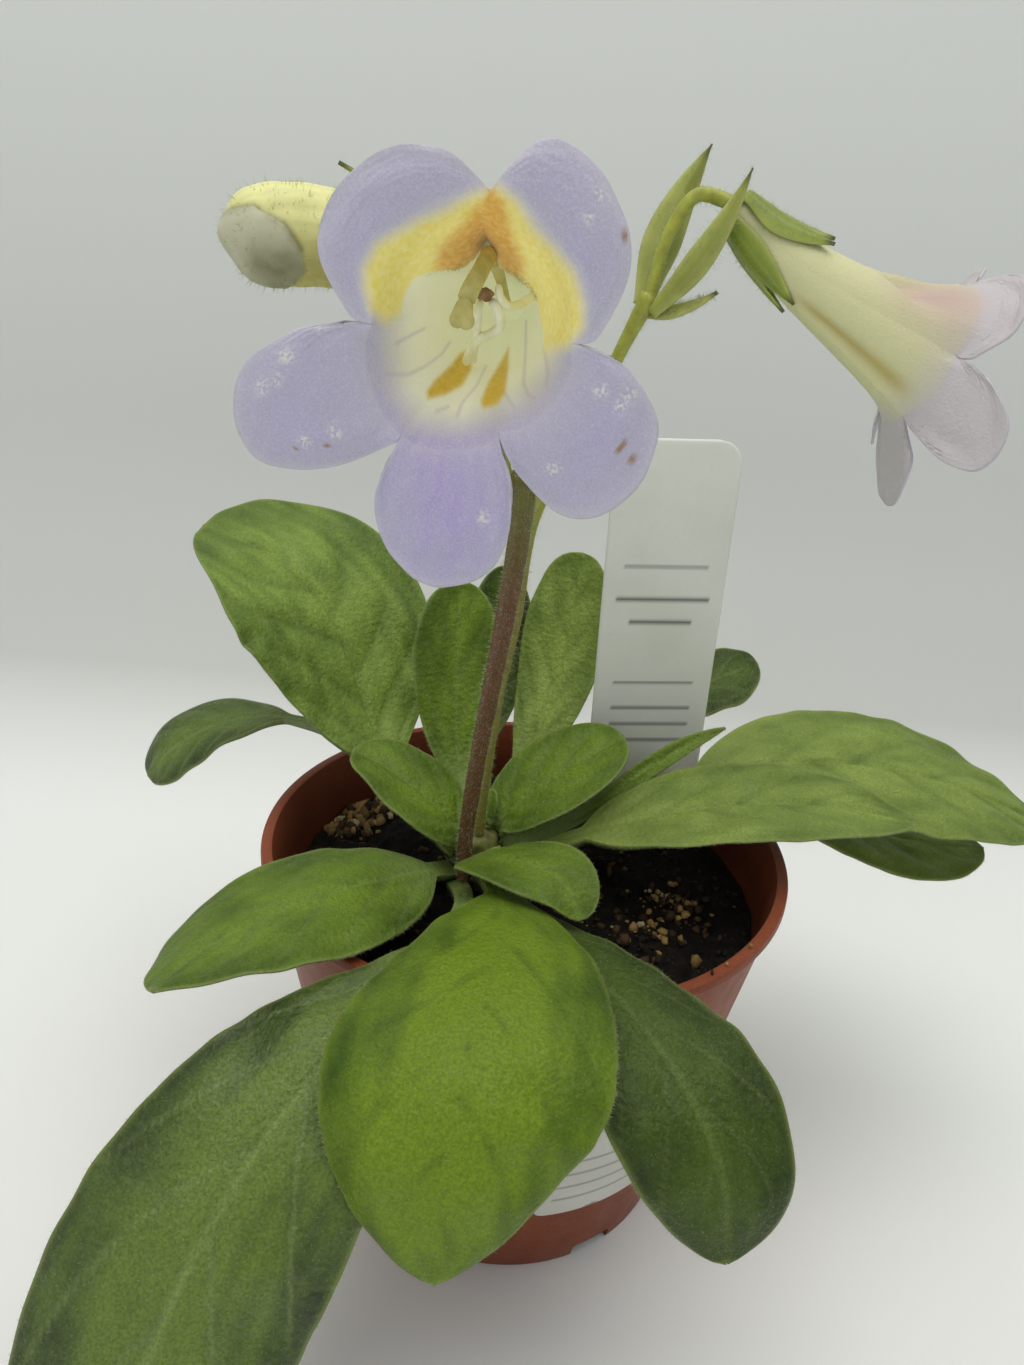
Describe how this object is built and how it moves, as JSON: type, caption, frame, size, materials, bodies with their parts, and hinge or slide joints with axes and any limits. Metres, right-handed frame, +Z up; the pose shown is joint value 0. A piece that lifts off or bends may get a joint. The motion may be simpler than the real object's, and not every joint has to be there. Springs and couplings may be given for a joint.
{
  "type": "potted primulina",
  "caption": "Rosette of fleshy, hairy, quilted leaves in a small plastic nursery pot with a plant tag, bearing two open lavender trumpet flowers and a bud on slender stalks.",
  "frame": {"origin": "centre of the pot's flat underside, on the surface it stands on", "axes": "+Z up, -Y towards the open front flower's face, +X to the right as one faces the plant"},
  "size_m": [0.2044, 0.1516, 0.2013],
  "materials": {
    "terracotta_plastic": "thin moulded terracotta-brown plastic, satin",
    "label_paper": "off-white sticker with plain grey ruled lines",
    "potting_mix": "near-black peat mix with tan bark crumbs and pale grains",
    "tag_plastic": "grey-green translucent plastic, satin, two thin ruled lines",
    "crown_green": "short brown-green stem",
    "leaf_green": "fresh green, quilted, hairy, satin sheen, paler veins",
    "leaf_dark_green": "deeper green of the lower leaves, quilted and hairy",
    "stalk_brown": "brown-purple, fine hairs, greener at the top",
    "stalk_green": "green, fine hairs",
    "bract_green": "yellow-green, softly hairy, darker tips",
    "petal_lavender": "pale lavender velvet, cream throat with yellow and orange patches, fine violet veins",
    "bud_cream": "greenish cream with grey-white folded lobes",
    "stigma_green": "pale yellow-green, two flat lobes",
    "anther_brown": "cream filaments with joined brown anthers"
  },
  "bodies": {
    "root": {"pot": "terracotta_plastic", "pot_label": "label_paper", "soil": "potting_mix", "plant_tag": "tag_plastic", "crown": "crown_green", "leaf_small_front": "leaf_green", "leaf_front_centre": "leaf_green", "leaf_left": "leaf_green", "leaf_front_left": "leaf_dark_green", "leaf_front_right": "leaf_dark_green", "leaf_centre_left": "leaf_green", "leaf_centre_right": "leaf_green", "leaf_back_centre_left": "leaf_green", "leaf_back_centre_right": "leaf_green", "leaf_back_peek": "leaf_dark_green", "leaf_back_left": "leaf_green", "leaf_far_left": "leaf_dark_green", "leaf_right_long": "leaf_green", "leaf_edge_on": "leaf_green", "leaf_right_back": "leaf_green", "leaf_right_lower": "leaf_dark_green", "leaf_back_right_small": "leaf_dark_green", "leaf_newest": "leaf_green", "main_peduncle": "stalk_brown", "second_peduncle": "stalk_green", "bract_main_left": "bract_green", "bract_main_right": "bract_green", "bract_second_left": "bract_green", "bract_second_right": "bract_green", "bract_second_small": "bract_green", "front_pedicel": "stalk_green", "front_calyx": "bract_green", "front_corolla": "petal_lavender", "front_pistil": "stigma_green", "front_stamens": "anther_brown", "right_pedicel": "stalk_green", "right_calyx": "bract_green", "right_corolla": "petal_lavender", "right_pistil": "stigma_green", "right_stamens": "anther_brown", "bud_pedicel": "stalk_green", "bud_calyx": "bract_green", "bud_corolla": "bud_cream"}
  },
  "joints": []
}
